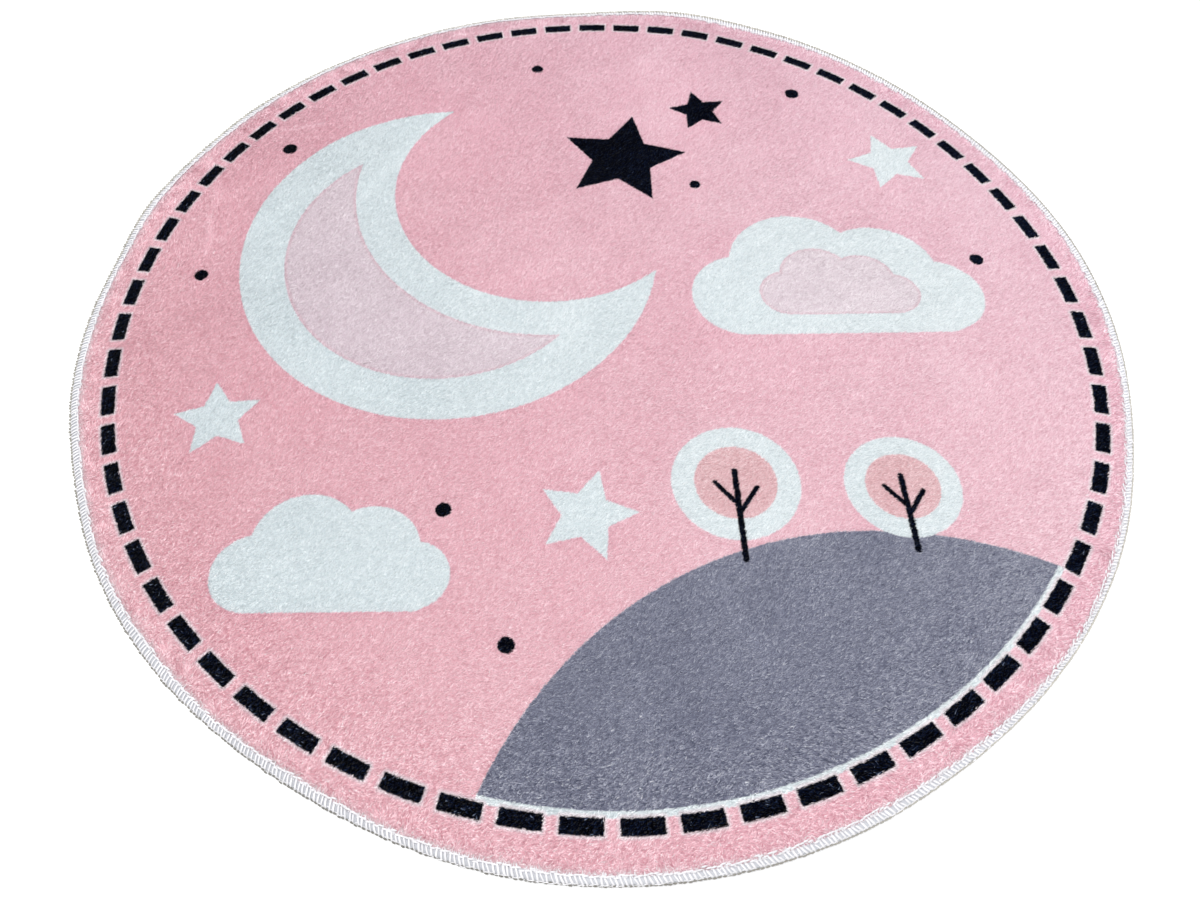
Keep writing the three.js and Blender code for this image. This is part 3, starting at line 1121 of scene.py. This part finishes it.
def add_underlay(material):
    """The crossing threads under the stitches: a thin sleeve round the cloth's rim,
    coloured grey as painted shade in the gaps between the bars.
    """
    section = np.array(
        [
            (7.3, 0.62), (2.4, 0.62), (1.8, 1.1), (1.8, 2.5), (2.3, 2.98), (8.2, 2.98),
            (8.2, 2.8), (2.05, 2.75), (2.05, 0.95), (7.3, 0.95),
        ]
    ) * MM
    around = UNDERLAY_STEPS
    azimuth = np.arange(around)[:, None] * 2 * pi / around + np.zeros(len(section))
    height = section[:, 1] + 0 * azimuth
    short = 1.5 * MM * facing(azimuth, 35, 4)  # where the stitches' ends stand free
    inside = drawn_in(section[:, 0] + 0 * azimuth, height, reach_at(azimuth) - short)
    points = round_the_rug(azimuth, inside, height)
    faces = ring_faces(len(section), around, closed_section=True)
    piece = mesh_piece("thread_underlay", points.reshape(-1, 3), faces)
    k = np.arange(len(section))[None, :] / len(section) + np.zeros((around, 1))
    r = np.arange(around)[:, None] / around + 0 * k
    next_k, next_r = k + 1 / len(section), r + 1 / around
    places = np.stack(
        [np.stack([r, next_r, next_r, r], -1), np.stack([k, k, next_k, next_k], -1)], -1
    )
    add_map(piece, "OFBake", places.reshape(-1, 2))
    # Painted light and shade: the sleeve lighter on top and by side, darker round the rim,
    # with painted light on the rim's outside at the near right
    on_top = smooth_step(inside, 3.2 * MM, 5.5 * MM)
    tone = 0.80 + on_top * (0.38 + peaks(azimuth, UNDERLAY_TOP_PAINTED_LIGHT))
    tone += (1 - on_top) * 0.30 * facing(azimuth, -40, 4)
    add_map(piece, "tone", tone.ravel()[faces].reshape(-1, 1) / 2 * [1, 0])
    piece.data.materials.append(material)
    return piece


def add_fluff(material):
    """Short white fibres of the thread that stand out over the pile beside the stitches."""
    draw = np.random.default_rng(41)
    n = FLUFF_COUNT
    azimuth = draw.uniform(0, 2 * pi, n)
    azimuth = azimuth + 0.004 * np.sin(azimuth * 61) + 0.003 * np.sin(azimuth * 143)
    start = reach_at(azimuth) + draw.normal(-0.5, 0.5, n) * MM
    reach = (np.abs(draw.normal(1.2, 1.0, n)) + 0.6 * facing(azimuth, -110)) * MM
    slip = draw.normal(0, 1.1, n) * MM / RUG_RADIUS
    base = np.stack([start, azimuth, np.full(n, 3.8 * MM)], -1)
    tip = base + np.stack([reach, slip, draw.uniform(0.2, 1.4, n) * MM], -1)
    half = 0.4 * MM / RUG_RADIUS
    left, right = base.copy(), base.copy()
    left[:, 1] -= half
    right[:, 1] += half
    corners = np.stack([left, right, tip], 1)
    points = round_the_rug(corners[..., 1], corners[..., 0], corners[..., 2])
    faces = np.arange(3 * n).reshape(-1, 3)
    piece = mesh_piece("thread_fluff", points.reshape(-1, 3), faces)
    cells = ceil(sqrt(n))
    corner = np.stack([np.arange(n) % cells, np.arange(n) // cells], -1)
    places = np.array([(0.1, 0.1), (0.9, 0.1), (0.5, 0.9)]) + corner[:, None]
    add_map(piece, "OFBake", places.reshape(-1, 2) / cells)
    add_map(piece, "tone", np.full((3 * n, 2), 0.5))
    piece.data.materials.append(material)
    return piece


# -------- stage and camera
CAMERA_LENS = 24.96
CAMERA_SHIFT = (0.03715, 0.03028)
CAMERA_PLACE = (-0.0442, -0.5424, 0.6307)  # from the print's middle
CAMERA_DOWN = radians(60.72)  # how far below level it looks
CAMERA_ROLL = radians(-0.90)
FLOOR_SIZE = 12
FLOOR_GREY = (0.8, 0.8, 0.8, 1.0)  # as it lights the rug
FLOOR_WHITE = (1.15, 1.15, 1.15, 1.0)  # as it is seen
ROOM_STRENGTH = 0.77
LAMP_PLACE = (-0.35, -0.15, 2.4)
LAMP_SIZE = 1.6
LAMP_WATTS = 30


def add_camera():
    """The camera stands over the near side of the rug and looks down on it."""
    camera = bpy.data.cameras.new("camera")
    camera.sensor_width = 36
    camera.lens = CAMERA_LENS
    camera.shift_x, camera.shift_y = CAMERA_SHIFT
    camera.clip_start = 0.01
    eye = new_object("camera", camera)
    place = Vector((*PRINT_MIDDLE, 0.0)) + Vector(CAMERA_PLACE)
    pitch = Matrix.Rotation(pi / 2 - CAMERA_DOWN, 4, "X")
    roll = Matrix.Rotation(CAMERA_ROLL, 4, "Z")
    eye.matrix_world = Matrix.Translation(place) @ pitch @ roll
    bpy.context.scene.camera = eye


def seen_directly(n):
    """1 where the surface is seen by the camera, itself or in a mirror or through glass."""
    path = n.tree.nodes.new("ShaderNodeLightPath")
    either = n.sum("MAXIMUM", path.outputs["Is Camera Ray"], path.outputs["Is Glossy Ray"])
    return n.sum("MAXIMUM", either, path.outputs["Is Transmission Ray"])


def add_floor():
    """A plain white floor that keeps the rug's shadow."""
    bpy.ops.mesh.primitive_plane_add(size=FLOOR_SIZE, location=(0, 0, 0))
    floor = bpy.context.object
    floor.name = "floor"
    material, n, shader = new_material("floor")
    colour = n.mixed(seen_directly(n), FLOOR_GREY, FLOOR_WHITE)
    n.fill(shader, {"Base Color": colour, "Roughness": 1.0, "Specular IOR Level": 0.0})
    floor.data.materials.append(material)


def add_light():
    """An even white room and one large soft lamp."""
    world = bpy.data.worlds.new("room")
    bpy.context.scene.world = world
    world.use_nodes = True
    n = Sums(world.node_tree)
    room = world.node_tree.nodes["Background"]
    strength = n.spread(seen_directly(n), 0.0, 1.0, ROOM_STRENGTH, 1.0)
    n.fill(room, {"Color": (1.0, 1.0, 1.0, 1.0), "Strength": strength})
    lamp = bpy.data.lights.new("softbox", "AREA")
    lamp.shape = "DISK"
    lamp.size = LAMP_SIZE
    lamp.energy = LAMP_WATTS
    box = new_object("softbox", lamp)
    place = Vector(LAMP_PLACE)
    turn = place.to_track_quat("Z", "Y").to_matrix().to_4x4()
    box.matrix_world = Matrix.Translation(place) @ turn


# -------- the rug
def main():
    bpy.context.scene.view_settings.view_transform = "Standard"
    for piece in bpy.context.selected_objects:
        piece.select_set(False)
    add_camera()
    add_floor()
    add_light()

    group = print_group()
    ground = add_ground()
    ground.data.materials.append(ground_material(group))
    ground.data.materials.append(backing_material())
    pile = add_pile(pile_material(group))
    cells = ceil(sqrt(STITCH_COUNT))
    white_thread = thread_material("white_thread", THREAD_WHITE, THREAD_WHITE_TWIST, cells)
    shaded_bed_thread = thread_material("shaded_thread", UNDERLAY_SHADE, UNDERLAY_TWIST_SHADE, UNDERLAY_CELLS)
    lower_thread_and_shadow = thread_material("lower_thread_and_shadow", LOWER_THREAD_AND_SHADOW, LOWER_THREAD_TWIST_AND_SHADOW, cells)
    stitches = add_stitches(white_thread)
    underlay = add_underlay(shaded_bed_thread)
    lower = add_lower_thread(lower_thread_and_shadow)
    fluff = add_fluff(white_thread)

    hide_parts("pile_cloth")
    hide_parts("overlock_edge")
    for piece in (ground, *pile):
        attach(piece, "root")
    for piece in (*stitches, underlay, lower, fluff):
        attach(piece, "root")


main()
